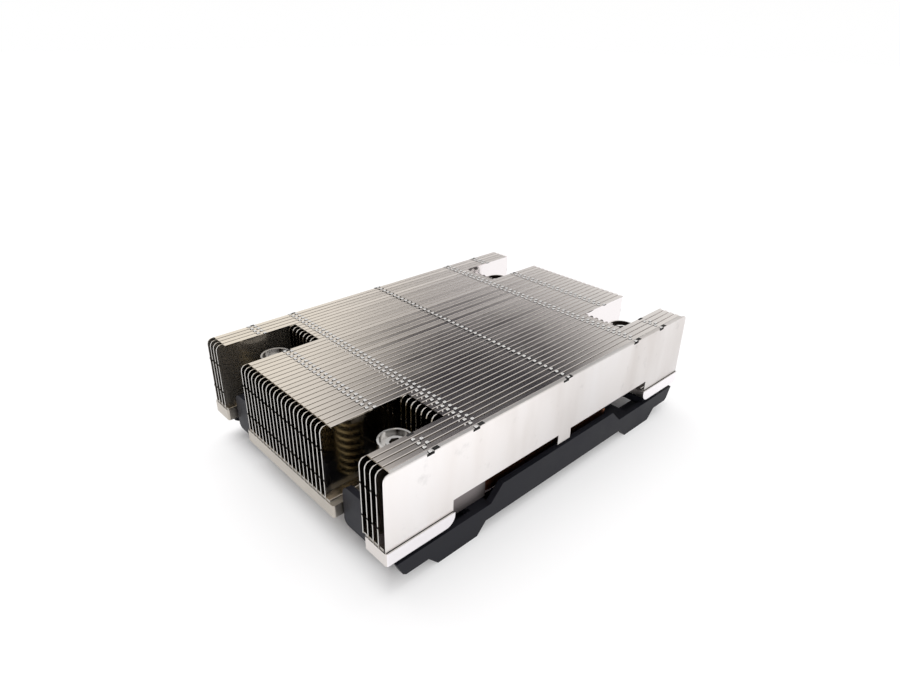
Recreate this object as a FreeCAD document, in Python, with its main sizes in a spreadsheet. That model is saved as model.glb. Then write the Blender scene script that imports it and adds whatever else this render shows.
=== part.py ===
import FreeCAD, Part
import Sketcher
import math
import os

# Passive heatsink for a one-unit-high server processor.
# Thin upright fins stand side by side on a plated base plate. Each fin is a punched strip whose
# top and bottom edges are folded over to the next fin, so the folds close up to a flat top.
# Four notches in the corners of the fin row leave room for four captive spring-loaded nuts.
# A black frame under the base carries the nuts, clips round the base and stands on four feet.
# The frame of the model: X runs across the fins, Y runs along them, Z is up.
# The origin is the middle of the footprint at the height of the frame's feet.

doc = FreeCAD.newDocument("passive_heatsink")
sheet = doc.addObject("Spreadsheet::Sheet", "Sizes")

# Every driving size has its own row: name, value in millimetres, meaning.
SIZES = [
    ("fin_pitch", 1.772, "distance from one fin to the next"),
    ("fin_thickness", 0.3, "sheet thickness of a fin"),
    ("fin_height", 19.0, "height of a fin over the base"),
    ("fin_length", 112.4, "length of a full fin"),
    ("fin_corner", 1.5, "radius of the upper front and rear corners of a fin"),
    ("fold_inset", 2.0, "how far the top folds stay behind the fin's front and rear edges"),
    ("foot_fold_inset", 0.15, "how far the folds on the base stay behind those edges"),
    ("fold_gap", 0.06, "gap between a fold and the next fin"),
    ("bend_bevel", 0.18, "flat across the outside of a bend"),
    ("centre_count", 21, "fins in the centre block"),
    ("notch_count", 7, "short fins behind each notch"),
    ("wing_count", 4, "fins in each wing"),
    ("notch_length", 20.5, "length of a corner notch in the fin row"),
    ("side_gap", 2.376, "distance from the last fin to the side plate"),
    ("cutout_start", 18.4, "where the cut-out under the wings starts, from the front fin end"),
    ("cutout_end", 17.8, "where the cut-out under the wings ends, from the rear fin end"),
    ("cutout_height", 3.1, "height of the cut-out under the wings"),
    ("tab_width", 5.0, "width of the tab in the side plate's cut-out"),
    ("tab_offset", 0.8, "how far the tab lies behind the middle"),
    ("tab_gap", 0.2, "height of the tab's lower edge over the base top"),
    ("strip_width", 0.9, "width of the side plate's fold towards the fins"),
    ("skirt_end", 30.8, "where the last fin's skirt ends, from the fin end"),
    ("skirt_drop", 0.9, "how far the skirt hangs below the base underside"),
    ("base_thickness", 3.3, "thickness of the base plate"),
    ("base_end_lip", 0.3, "how far the base shows beyond the fin ends"),
    ("base_side_lip", 0.45, "how far the base shows beyond the outer fins"),
    ("tongue_lip", 1.36, "how far the base shows beside the centre block"),
    ("foot_inset", 0.414, "how far a base foot starts outside the middle of the wing's first gap"),
    ("foot_length", 18.9, "length of a base foot under a wing"),
    ("foot_round", 2.6, "rounding of a foot's lower inner end"),
    ("base_corner", 0.6, "plan radius of the base's end corners"),
    ("neck_step", 2.5, "how far the base is wider next to the feet than beside the pipes"),
    ("neck_start", 23.4, "where the wider part of the base starts, from the middle"),
    ("base_height", 8.3, "height of the base underside over the frame's feet"),
    ("contact_width", 46.0, "width of the contact plate"),
    ("contact_length", 50.0, "length of the contact plate"),
    ("contact_thickness", 3.2, "thickness of the contact plate"),
    ("contact_chamfer", 0.5, "chamfer round the contact face"),
    ("pipe_width", 5.0, "width of the flattened heat pipe"),
    ("pipe_thickness", 2.9, "thickness of the flattened heat pipe"),
    ("pipe_inner", 12.0, "place of the heat pipe's inner leg, from the middle"),
    ("pipe_bend_gap", 0.4, "distance of the heat pipe's bend from the corner notches"),
    ("pipe_rail_gap", 1.4, "distance of the heat pipe from the frame's rail"),
    ("pipe_end", 22.5, "where the heat pipe's legs end, from the middle"),
    ("pipe_gap", 0.1, "clearance between heat pipe and base"),
    ("nut_from_end", 13.0, "distance of a nut from the fin ends"),
    ("nut_rise", 14.9, "height of the cup's rim over the base top"),
    ("cup_radius", 4.1, "outer radius of the nut's cup"),
    ("cup_wall", 0.5, "wall of the nut's cup"),
    ("cup_height", 2.6, "height of the nut's cup"),
    ("cup_floor", 0.8, "thickness of the cup's floor"),
    ("boss_radius", 2.2, "radius of the boss in the cup"),
    ("boss_drop", 0.7, "how far the boss stays below the cup's rim"),
    ("drive_size", 2.6, "distance across the flats of the drive recess"),
    ("drive_depth", 1.6, "depth of the drive recess"),
    ("shank_radius", 2.4, "radius of the nut's shank"),
    ("shank_end", 2.6, "height of the shank's lower end over the frame's feet"),
    ("thread_radius", 1.65, "radius of the threaded hole in the nut"),
    ("thread_depth", 8.0, "depth of the threaded hole in the nut"),
    ("ring_radius", 3.6, "outer radius of the retaining ring"),
    ("ring_thickness", 0.6, "thickness of the retaining ring"),
    ("ring_gap", 0.1, "clearance round the retaining ring"),
    ("spring_wire", 0.8, "thickness of the spring wire"),
    ("spring_gap", 0.3, "clearance between spring and shank"),
    ("spring_turns", 5.5, "turns of the spring"),
    ("spring_seat_gap", 0.05, "clearance at the two ends of the spring"),
    ("rail_thickness", 1.6, "wall of the frame's side rails"),
    ("rail_end", 2.1, "distance of a rail's tip from the fin ends"),
    ("rail_tip_slope", 2.0, "how far the tip slopes back"),
    ("rail_tip_bevel", 0.6, "bevel of the tip's lower corner"),
    ("rail_gap", 1.1, "height of the base underside over the rail arms"),
    ("rail_bottom", 3.0, "height of the rails' lower edge over the feet"),
    ("rail_mid_drop", 0.5, "how far the rail's raised middle stays below the base top"),
    ("rail_mid_length", 44.6, "length of the rail's raised middle at its top"),
    ("rail_ramp", 3.8, "length of the ramps beside the raised middle"),
    ("rail_foot_start", 13.7, "where a frame foot starts, from the fin end"),
    ("rail_foot_length", 12.1, "length of a frame foot"),
    ("rail_foot_ramp", 2.8, "length of the ramps beside a frame foot"),
    ("ledge_width", 6.0, "width of the ledge along the rails' lower edge, with the rail"),
    ("ledge_thickness", 1.2, "thickness of that ledge"),
    ("ledge_end", 5.5, "distance of the ledge's end from the fin ends"),
    ("tray_thickness", 2.1, "thickness of the frame's corner trays"),
    ("tray_gap", 0.2, "clearance between tray and base underside"),
    ("tray_start", 2.1, "where a tray starts, from the fin end"),
    ("tray_length", 17.6, "length of a corner tray"),
    ("arm_length", 7.6, "length along Y of the arm that joins a tray to its rail"),
    ("tray_side_gap", 0.4, "clearance between tray lip and base tongue"),
    ("tray_hole_gap", 0.35, "clearance round the shank in the tray"),
    ("lip_thickness", 1.6, "thickness of the upright lip in front of a nut"),
    ("lip_rise", 5.2, "height of the lip over the base top"),
    ("lip_width", 10.0, "width of the lip and its tray"),
    ("lip_round_top", 2.4, "rounding of the lip's upper corners"),
    ("lip_round_low", 1.5, "rounding of the lip's lower corners"),
    ("bar_gap", 1.0, "distance of a cross bar from the contact plate's end"),
    ("bar_width", 5.3, "width of a cross bar"),
    ("bar_thickness", 2.6, "thickness of a cross bar"),
    ("open_margin", 1.0, "overlap of cutting tools beyond the material"),
]
for line, (alias, value, meaning) in enumerate(SIZES, 1):
    sheet.set("A%d" % line, alias)
    sheet.set("B%d" % line, str(value))
    sheet.setAlias("B%d" % line, alias)
    sheet.set("C%d" % line, meaning)
doc.recompute()


def size(alias):
    """The value of one row of the sheet."""
    return float(sheet.get(alias))


def S(formula):
    """A formula with every size written as %name, turned into an expression on the sheet."""
    return formula.replace("%", "Sizes.")


# Levels and places that several pieces share, all worked out from the sheet.
BASE_LOW = "%base_height"
BASE_TOP = "(%base_height + %base_thickness)"
HALF_FIN = "(%fin_length / 2)"
HALF_BASE = "(%fin_length / 2 + %base_end_lip)"
CENTRE_HALF = "(%centre_count * %fin_pitch / 2)"
NOTCH_HALF = "((%centre_count / 2 + %notch_count) * %fin_pitch)"
LAST_STEP = "(%centre_count + 2 * %notch_count + 2 * %wing_count - 1)"
ROW_HALF = "((" + LAST_STEP + " * %fin_pitch + %side_gap) / 2)"
BASE_SIDE = "(" + ROW_HALF + " + %fin_thickness / 2 + %base_side_lip)"
TONGUE_HALF = "(" + CENTRE_HALF + " + %tongue_lip)"
FOOT_IN = "(" + NOTCH_HALF + " + %foot_inset)"
NUT_X = "((" + TONGUE_HALF + " + " + FOOT_IN + ") / 2)"
NUT_Y = "(" + HALF_FIN + " - %nut_from_end)"
NOTCH_Y = "(" + HALF_FIN + " - %notch_length)"
FOOT_Y = "(" + HALF_BASE + " - %foot_length)"
CUT_Y = "(" + HALF_FIN + " - %cutout_start)"
CUT_REAR = "(" + HALF_FIN + " - %cutout_end)"
TRAY_TOP = "(%base_height - %tray_gap)"
TRAY_LOW = "(%base_height - %tray_gap - %tray_thickness)"
CUP_TOP = "(" + BASE_TOP + " + %nut_rise)"
CUP_LOW = "(" + BASE_TOP + " + %nut_rise - %cup_height)"
PIPE_OUTER = "(" + BASE_SIDE + " - %rail_thickness - %pipe_rail_gap - %pipe_width / 2)"
BODY_HALF = "(" + PIPE_OUTER + " - %pipe_width / 2 - %pipe_gap)"
NECK_HALF = "(" + BODY_HALF + " + %neck_step)"
BEND_X = "((" + PIPE_OUTER + " + %pipe_inner) / 2)"
BEND_R = "((" + PIPE_OUTER + " - %pipe_inner) / 2)"
BEND_Y = "(" + NOTCH_Y + " - %pipe_bend_gap - " + BEND_R + " - %pipe_width / 2)"

NODES = []


def keep(obj, label):
    """Marks an object as one piece of the product and gives it its name."""
    obj.Label = label
    NODES.append(obj)
    return obj


def box(name, x, y, z, dx, dy, dz):
    """A block from its lowest corner and its three lengths, each a formula on the sheet."""
    obj = doc.addObject("Part::Box", name)
    obj.setExpression("Length", S(dx))
    obj.setExpression("Width", S(dy))
    obj.setExpression("Height", S(dz))
    obj.setExpression("Placement.Base.x", S(x))
    obj.setExpression("Placement.Base.y", S(y))
    obj.setExpression("Placement.Base.z", S(z))
    return obj


def rod(name, x, y, z, radius, length, along="Z", flats=0):
    """A cylinder from the middle of its first end, along X, Y or Z, or a prism with flats."""
    if flats:
        obj = doc.addObject("Part::Prism", name)
        obj.Polygon = flats
        obj.setExpression("Circumradius", S(radius))
    else:
        obj = doc.addObject("Part::Cylinder", name)
        obj.setExpression("Radius", S(radius))
    obj.setExpression("Height", S(length))
    turns = {"X": (FreeCAD.Vector(0, 1, 0), 90), "Y": (FreeCAD.Vector(1, 0, 0), -90)}
    if along in turns:
        axis, angle = turns[along]
        obj.Placement = FreeCAD.Placement(FreeCAD.Vector(), FreeCAD.Rotation(axis, angle))
    obj.setExpression("Placement.Base.x", S(x))
    obj.setExpression("Placement.Base.y", S(y))
    obj.setExpression("Placement.Base.z", S(z))
    return obj


def fuse(name, pieces):
    obj = doc.addObject("Part::MultiFuse", name)
    obj.Shapes = pieces
    obj.Refine = True
    return obj


def cut(name, base, tool):
    obj = doc.addObject("Part::Cut", name)
    obj.Base = base
    obj.Tool = tool
    return obj


def round_edges(name, base, radius, chosen):
    """Rounds the edges of base for which chosen(edge) is true, with a radius from the sheet."""
    doc.recompute()
    obj = doc.addObject("Part::Fillet", name)
    obj.Base = base
    value = size(radius)
    obj.Edges = [(n, value, value) for n, edge in enumerate(base.Shape.Edges, 1) if chosen(edge)]
    return obj


def bevel_edges(name, base, width, chosen):
    """Bevels the edges of base for which chosen(edge) is true, with a width from the sheet."""
    doc.recompute()
    obj = doc.addObject("Part::Chamfer", name)
    obj.Base = base
    value = size(width)
    obj.Edges = [(n, value, value) for n, edge in enumerate(base.Shape.Edges, 1) if chosen(edge)]
    return obj


def number(formula):
    """The value of a formula on the sheet, for choosing edges and counting copies."""
    names = sorted([row[0] for row in SIZES], key=len, reverse=True)
    text = formula
    for alias in names:
        text = text.replace("%" + alias, repr(size(alias)))
    return float(FreeCAD.Units.Quantity(text).Value)


NEAR = 1e-4


def runs_along(edge, axis):
    """True for a straight edge that is parallel to the axis 0, 1 or 2."""
    if not isinstance(edge.Curve, Part.Line):
        return False
    line = edge.Curve.Direction
    return abs(abs(line[axis]) - 1) < NEAR


def lies_at(edge, axis, value):
    """True for an edge whose middle has this value along the axis 0, 1 or 2."""
    return abs(edge.BoundBox.Center[axis] - value) < NEAR


def polygon(body, role, name, points):
    """A closed sketch on one of the body's own planes, each corner held by two formulas."""
    sketch = body.newObject("Sketcher::SketchObject", name)
    plane = [item for item in body.Origin.OriginFeatures if item.Role == role][0]
    sketch.AttachmentSupport = [(plane, "")]
    sketch.MapMode = "FlatFace"
    places = [FreeCAD.Vector(number(a), number(b), 0) for a, b in points]
    count = len(places)
    for n in range(count):
        sketch.addGeometry(Part.LineSegment(places[n], places[(n + 1) % count]), False)
    for n in range(count):
        sketch.addConstraint(Sketcher.Constraint("Coincident", n, 2, (n + 1) % count, 1))
    for n, pair in enumerate(points):
        for kind, formula, value, line in (("DistanceX", pair[0], places[n].x, -2),
                                           ("DistanceY", pair[1], places[n].y, -1)):
            if formula == "0":
                sketch.addConstraint(Sketcher.Constraint("PointOnObject", n, 1, line))
                continue
            held = sketch.addConstraint(Sketcher.Constraint(kind, -1, 1, n, 1, value))
            sketch.setExpression("Constraints[%d]" % held, S(formula))
    return sketch


def pad(body, name, sketch, length):
    obj = body.newObject("PartDesign::Pad", name)
    obj.Profile = sketch
    obj.setExpression("Length", S(length))
    sketch.Visibility = False
    return obj


def new_body(name, label):
    body = doc.addObject("PartDesign::Body", name)
    body.Label = label
    return body


# The fins
# A fin is made as it is in the shop: a bent strip, from which the punch takes the rounded
# corners and the cut-outs. The three kinds share their helpers, and each fin is a
# copy of its kind at its own place in the row.

def bent_strip(name, half_length, z_low, fold_reach):
    """An upright strip with a fold at the top towards +X, with its bend rounded."""
    height = BASE_TOP + " + %fin_height - (" + z_low + ")"
    plate = box(name + "_plate", "-%fin_thickness / 2", "-" + half_length, z_low,
                "%fin_thickness", "2 * " + half_length, height)
    top = box(name + "_top_fold", "0", "-" + half_length + " + %fold_inset",
              BASE_TOP + " + %fin_height - %fin_thickness",
              fold_reach, "2 * (" + half_length + " - %fold_inset)", "%fin_thickness")
    return [plate, top]


def low_fold(name, y_low, length, fold_reach):
    """The fold along the foot of a fin, which lies on the base."""
    return box(name, "0", y_low, BASE_TOP, fold_reach, length, "%fin_thickness")


# A punched corner is three short flats, a quarter of this many-sided punch.
CORNER_SIDES = 12


def punch(name, half_length, wing, skirt=False, tab=False):
    """What the punch takes off a strip: the upper corners and the cut-out under a wing."""
    tools = []
    wide = "4 * %fin_pitch"
    left = "-2 * %fin_pitch"
    for side, sign in (("front", "-"), ("rear", "")):
        square = box("%s_%s_corner" % (name, side), left,
                     sign + half_length + (" - %open_margin" if sign else " - %fin_corner"),
                     BASE_TOP + " + %fin_height - %fin_corner", wide,
                     "%fin_corner + %open_margin", "%fin_corner + %open_margin")
        place = sign + "(" + half_length + " - %fin_corner)"
        wheel = rod("%s_%s_round" % (name, side), left, place,
                    BASE_TOP + " + %fin_height - %fin_corner", "%fin_corner", wide, "X",
                    CORNER_SIDES)
        tools.append(cut("%s_%s_nibble" % (name, side), square, wheel))
    if wing:
        start = "-(" + HALF_FIN + " - %skirt_end)" if skirt else "-" + CUT_Y
        low = BASE_LOW + " - %skirt_drop - %open_margin"
        deep = "%base_thickness + %skirt_drop + %open_margin"
        tools.append(box(name + "_cutout", left, start, low, wide,
                         CUT_REAR + " - (" + start + ")", deep + " + %cutout_height"))
        if skirt:
            tools.append(box(name + "_skirt_front", left, "-" + HALF_BASE, low, wide,
                             "%foot_length + 2 * %pipe_gap", deep))
            tools.append(box(name + "_skirt_rear", left, CUT_REAR, low, wide,
                             "%cutout_end + %open_margin", deep))
        if tab:
            block = tools.pop()
            keep_tab = box(name + "_tab", left, "%tab_offset - %tab_width / 2",
                           BASE_TOP + " + %tab_gap", wide, "%tab_width", "%cutout_height")
            tools.append(cut(name + "_cutout_with_tab", block, keep_tab))
    return fuse(name + "_tools", tools)


FOLD = "(%fin_pitch - %fin_thickness / 2 - %fold_gap)"
SHORT_HALF = NOTCH_Y

centre_strip = bent_strip("centre_strip", HALF_FIN, BASE_TOP, FOLD)
centre_strip.append(low_fold("centre_low_fold", "-" + HALF_FIN + " + %foot_fold_inset",
                             "2 * (" + HALF_FIN + " - %foot_fold_inset)", FOLD))
short_strip = bent_strip("short_strip", SHORT_HALF, BASE_TOP, FOLD)
short_strip.append(low_fold("short_low_fold", "-" + SHORT_HALF + " + %foot_fold_inset",
                            "2 * (" + SHORT_HALF + " - %foot_fold_inset)", FOLD))
WING_FOLDS = (("_front", "-" + HALF_FIN + " + %foot_fold_inset", "%cutout_start"),
              ("_rear", CUT_REAR, "%cutout_end"))
wing_strip = bent_strip("wing_strip", HALF_FIN, BASE_TOP, FOLD)
LAST_FOLD = "(%side_gap - %strip_width - %fold_gap)"
last_strip = bent_strip("last_strip", HALF_FIN, BASE_LOW + " - %skirt_drop", LAST_FOLD)
for end, y_fold, length in WING_FOLDS:
    wing_strip.append(low_fold("wing_low_fold" + end, y_fold,
                               length + " - %foot_fold_inset", FOLD))
    last_strip.append(low_fold("last_low_fold" + end, y_fold,
                               length + " - %foot_fold_inset", FOLD))
side_strip = bent_strip("side_strip", HALF_FIN, BASE_TOP, "%fin_thickness / 2")
side_strip[1] = box("side_strip_fold", "-%strip_width", "-" + HALF_FIN + " + %fold_inset",
                    BASE_TOP + " + %fin_height - %fin_thickness", "%strip_width",
                    "2 * (" + HALF_FIN + " - %fold_inset)", "%fin_thickness")

TOP = number(BASE_TOP + " + %fin_height")


def bend_edge(side):
    """Chooses the outer edge of the top bend, on the -X side for -1 and on the +X side for 1."""
    def chosen(edge):
        return (runs_along(edge, 1) and lies_at(edge, 2, TOP)
                and lies_at(edge, 0, side * size("fin_thickness") / 2))
    return chosen


kinds = {}
for kind, pieces, side in (("centre", centre_strip, -1), ("short", short_strip, -1),
                           ("wing", wing_strip, -1), ("last", last_strip, -1),
                           ("side", side_strip, 1)):
    whole = fuse(kind + "_strip", pieces)
    kinds[kind] = bevel_edges(kind + "_bent", whole, "bend_bevel", bend_edge(side))

punches = {
    "centre": punch("centre_punch", HALF_FIN, False),
    "short": punch("short_punch", SHORT_HALF, False),
    "wing": punch("wing_punch", HALF_FIN, True),
    "last": punch("last_punch", HALF_FIN, True, skirt=True),
    "side": punch("side_punch", HALF_FIN, True, tab=True),
}

row = []
wing = int(size("wing_count"))
notch = int(size("notch_count"))
centre = int(size("centre_count"))
row += [("wing", "fin_left_wing_%d" % (n + 1)) for n in range(wing)]
row += [("short", "fin_left_notch_%d" % (n + 1)) for n in range(notch)]
row += [("centre", "fin_centre_%02d" % (n + 1)) for n in range(centre)]
row += [("short", "fin_right_notch_%d" % (n + 1)) for n in range(notch)]
row += [("wing", "fin_right_wing_%d" % (n + 1)) for n in range(wing)]
row[-1] = ("last", row[-1][1])
row.append(("side", "outer_side_plate"))
for n, (kind, label) in enumerate(row):
    fin = cut("cut_" + label, kinds[kind], punches[kind])
    if kind == "side":
        fin.setExpression("Placement.Base.x", S(ROW_HALF))
    else:
        fin.setExpression("Placement.Base.x", S("%d * %%fin_pitch - %s" % (n, ROW_HALF)))
    keep(fin, label)

# The base plate
# Seen from above it is a block with a tongue under the centre block and a foot under each wing
# end; between tongue and foot lies the notch for a nut. Grooves in the underside hold the pipes.

base = new_body("BasePlate", "base_blank")
quarter = [
    (TONGUE_HALF, HALF_BASE),
    (TONGUE_HALF, NOTCH_Y),
    (FOOT_IN, NOTCH_Y),
    (FOOT_IN, HALF_BASE),
    (BASE_SIDE, HALF_BASE),
    (BASE_SIDE, FOOT_Y),
    (NECK_HALF, FOOT_Y),
    (NECK_HALF, "%neck_start"),
    (BODY_HALF, "%neck_start"),
]


def mirrored(points, x, y):
    return [((("-" if x < 0 else "") + a), (("-" if y < 0 else "") + b)) for a, b in points]


outline = mirrored(quarter, 1, 1)
outline += mirrored(quarter, 1, -1)[::-1]
outline += mirrored(quarter, -1, -1)
outline += mirrored(quarter, -1, 1)[::-1]

base_sketch = polygon(base, "XY_Plane", "base_outline", outline)
base_sketch.setExpression("AttachmentOffset.Base.z", S(BASE_LOW))
base_pad = pad(base, "base_block", base_sketch, "%base_thickness")
doc.recompute()


def edge_names(shape, chosen):
    return ["Edge%d" % n for n, edge in enumerate(shape.Edges, 1) if chosen(edge)]


def is_foot_end(edge):
    """The lower inner edge of a base foot."""
    return (runs_along(edge, 0) and lies_at(edge, 2, number(BASE_LOW))
            and abs(abs(edge.BoundBox.Center.y) - number(FOOT_Y)) < NEAR)


def is_end_corner(edge):
    """An upright edge at the end of a tongue or a foot."""
    return runs_along(edge, 2) and abs(abs(edge.BoundBox.Center.y) - number(HALF_BASE)) < NEAR


foot_fillet = base.newObject("PartDesign::Fillet", "foot_rounding")
foot_fillet.Base = (base_pad, edge_names(base_pad.Shape, is_foot_end))
foot_fillet.setExpression("Radius", S("%foot_round"))
doc.recompute()
corner_fillet = base.newObject("PartDesign::Fillet", "corner_rounding")
corner_fillet.Base = (foot_fillet, edge_names(foot_fillet.Shape, is_end_corner))
corner_fillet.setExpression("Radius", S("%base_corner"))

# The heat pipes
# Two flattened copper pipes, one on each side, bent like a U that opens to the rear. The inner
# leg crosses the contact plate, the outer leg lies along the edge of the base. Their lower faces
# are milled flush with the underside of the base.


def pipe_shape(name, sign, extra, low, height):
    """The U of a flattened pipe, on the side given by sign, wider by extra all round."""
    middle = sign + BEND_X
    outer = rod(name + "_bend_outer", middle, "-" + BEND_Y, low,
                BEND_R + " + %pipe_width / 2 + " + extra, height)
    inner = rod(name + "_bend_inner", middle, "-" + BEND_Y, low,
                BEND_R + " - %pipe_width / 2 - " + extra, height)
    ring = cut(name + "_bend_ring", outer, inner)
    half = box(name + "_bend_half", middle + " - " + BASE_SIDE, "-" + BEND_Y + " - " + BASE_SIDE,
               low, "2 * " + BASE_SIDE, BASE_SIDE, height)
    bend = doc.addObject("Part::Common", name + "_bend")
    bend.Base = ring
    bend.Tool = half
    parts = [bend]
    for leg, place in (("inner_leg", "%pipe_inner"), ("outer_leg", PIPE_OUTER)):
        parts.append(box("%s_%s" % (name, leg),
                         sign + place + " - %pipe_width / 2 - " + extra,
                         "-" + BEND_Y, low, "%pipe_width + 2 * " + extra,
                         BEND_Y + " + %pipe_end + " + extra, height))
    return fuse(name + "_path", parts)


grooves = []
pipes = []
for side, sign in (("left", "-"), ("right", "")):
    pipes.append(pipe_shape(side + "_pipe", sign, "0", BASE_LOW, "%pipe_thickness"))
    grooves.append(pipe_shape(side + "_groove", sign, "%pipe_gap", BASE_LOW + " - %open_margin",
                              "%pipe_thickness + %pipe_gap + %open_margin"))
pipe_set = doc.addObject("Part::Compound", "pipe_set")
pipe_set.Links = pipes
keep(pipe_set, "heat_pipes")
keep(cut("base_with_grooves", base, fuse("pipe_grooves", grooves)), "base_plate")

# The contact plate
# A copper block under the base, which the processor's lid meets.

contact = box("contact_block", "-%contact_width / 2", "-%contact_length / 2",
              BASE_LOW + " - %contact_thickness", "%contact_width", "%contact_length",
              "%contact_thickness")


def is_contact_rim(edge):
    """An edge round the contact face."""
    return lies_at(edge, 2, number(BASE_LOW + " - %contact_thickness"))


keep(bevel_edges("contact_bevelled", contact, "contact_chamfer", is_contact_rim), "contact_plate")

# The frame
# Two rails with raised middles and two feet each, joined by cross bars under the base. Each
# corner has a tray for a nut's spring and an upright lip in front of it.

MID_TOP = "(" + BASE_TOP + " - %rail_mid_drop)"
ARM_TOP = "(%base_height - %rail_gap)"
MID_Y = "(%rail_mid_length / 2)"
TIP_Y = "(" + HALF_FIN + " - %rail_end)"
RAIL_FOOT_Y = "(" + HALF_FIN + " - %rail_foot_start)"
half_rail = [
    (MID_Y, MID_TOP),
    ("(" + MID_Y + " + %rail_ramp)", ARM_TOP),
    (TIP_Y, ARM_TOP),
    ("(" + TIP_Y + " - %rail_tip_slope + %rail_tip_bevel / 2)", "(%rail_bottom + %rail_tip_bevel)"),
    ("(" + TIP_Y + " - %rail_tip_slope - %rail_tip_bevel)", "%rail_bottom"),
    ("(" + RAIL_FOOT_Y + " + %rail_foot_ramp)", "%rail_bottom"),
    (RAIL_FOOT_Y, "0"),
    ("(" + RAIL_FOOT_Y + " - %rail_foot_length)", "0"),
    ("(" + RAIL_FOOT_Y + " - %rail_foot_length - %rail_foot_ramp)", "%rail_bottom"),
]
rail_outline = half_rail + [("-" + a, b) for a, b in half_rail[::-1]]
frame_parts = []
for side, place in (("left", "-" + BASE_SIDE), ("right", BASE_SIDE + " - %rail_thickness")):
    rail = new_body(side + "_rail_body", side + "_rail")
    rail_sketch = polygon(rail, "YZ_Plane", side + "_rail_outline", rail_outline)
    rail_sketch.setExpression("AttachmentOffset.Base.z", S(place))
    pad(rail, side + "_rail_wall", rail_sketch, "%rail_thickness")
    frame_parts.append(rail)
    start = place if side == "left" else BASE_SIDE + " - %ledge_width"
    frame_parts.append(box(side + "_ledge", start, "-" + HALF_FIN + " + %ledge_end",
                           "%rail_bottom", "%ledge_width",
                           "2 * (" + HALF_FIN + " - %ledge_end)", "%ledge_thickness"))

TRAY_IN = "(" + TONGUE_HALF + " + %tray_side_gap)"
LIP_OUT = "(" + TRAY_IN + " + %lip_width)"
TRAY_OUT = "(" + BASE_SIDE + " - %rail_thickness / 2)"
BAR_IN = "(%contact_length / 2 + %bar_gap)"
TRAY_FRONT = "(" + HALF_FIN + " - %tray_start)"
holes = []
for end, y_sign in (("front", -1), ("rear", 1)):
    for side, x_sign in (("left", -1), ("right", 1)):
        name = end + "_" + side
        x_tray = TRAY_IN if x_sign > 0 else "-" + LIP_OUT
        x_arm = LIP_OUT + " - %lip_round_low" if x_sign > 0 else "-" + TRAY_OUT
        y_tray = "-" + TRAY_FRONT if y_sign < 0 else TRAY_FRONT + " - %tray_length"
        y_lip = "-" + TRAY_FRONT if y_sign < 0 else TRAY_FRONT + " - %lip_thickness"
        y_nut = ("-" if y_sign < 0 else "") + NUT_Y
        tray = box(name + "_tray", x_tray, y_tray, TRAY_LOW, "%lip_width", "%tray_length",
                   "%tray_thickness")
        lip = box(name + "_lip", x_tray, y_lip, TRAY_LOW, "%lip_width", "%lip_thickness",
                  BASE_TOP + " + %lip_rise - " + TRAY_LOW)
        frame_parts.append(box(name + "_arm", x_arm, y_nut + " - %arm_length / 2", TRAY_LOW,
                               TRAY_OUT + " - " + LIP_OUT + " + %lip_round_low", "%arm_length",
                               "%tray_thickness"))
        corner = fuse(name + "_corner", [tray, lip])

        def is_lip_top(edge):
            """The two upper corners of the lip."""
            return runs_along(edge, 1) and lies_at(edge, 2, number(BASE_TOP + " + %lip_rise"))

        def is_tray_low(edge):
            """The two lower side edges of the tray and lip."""
            return runs_along(edge, 1) and lies_at(edge, 2, number(TRAY_LOW))

        rounded = round_edges(name + "_lip_rounded", corner, "lip_round_top", is_lip_top)
        frame_parts.append(round_edges(name + "_tray_rounded", rounded, "lip_round_low",
                                       is_tray_low))
        holes.append(rod(name + "_hole", ("-" if x_sign < 0 else "") + NUT_X, y_nut,
                         TRAY_LOW + " - %open_margin",
                         "%shank_radius + %tray_hole_gap",
                         "%tray_thickness + 2 * %open_margin"))
    y_bar = "-" + BAR_IN + " - %bar_width" if y_sign < 0 else BAR_IN
    frame_parts.append(box(end + "_bar", "-" + TRAY_OUT, y_bar, ARM_TOP + " - %bar_thickness",
                           "2 * " + TRAY_OUT, "%bar_width", "%bar_thickness"))
keep(cut("frame_with_holes", fuse("frame_whole", frame_parts), fuse("nut_holes", holes)),
     "retention_frame")

# The captive nuts
# Each nut is turned from one bar: a cup with a boss and a drive recess, a long shank and a
# threaded hole from below. A push-on ring under the tray keeps it in the frame.

CUP_IN = "(%cup_radius - %cup_wall)"
THREAD_TOP = "(%shank_end + %thread_depth)"
CUP_BED = "(" + CUP_LOW + " + %cup_floor)"
BOSS_TOP = "(" + CUP_TOP + " - %boss_drop)"
nut_profile = [
    ("0", THREAD_TOP),
    ("%thread_radius", THREAD_TOP),
    ("%thread_radius", "%shank_end"),
    ("%shank_radius", "%shank_end"),
    ("%shank_radius", CUP_LOW),
    ("%cup_radius", CUP_LOW),
    ("%cup_radius", CUP_TOP),
    (CUP_IN, CUP_TOP),
    (CUP_IN, CUP_BED),
    ("%boss_radius", CUP_BED),
    ("%boss_radius", BOSS_TOP),
    ("0", BOSS_TOP),
]
HEX_OUT = "(%drive_size / 3 ^ 0.5)"
HEX_IN = "(%drive_size / 3 ^ 0.5 / 2)"
HEX_SIDE = "(%drive_size / 2)"
hexagon = [(HEX_OUT, "0"), (HEX_IN, HEX_SIDE), ("-" + HEX_IN, HEX_SIDE), ("-" + HEX_OUT, "0"),
           ("-" + HEX_IN, "-" + HEX_SIDE), (HEX_IN, "-" + HEX_SIDE)]


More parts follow.
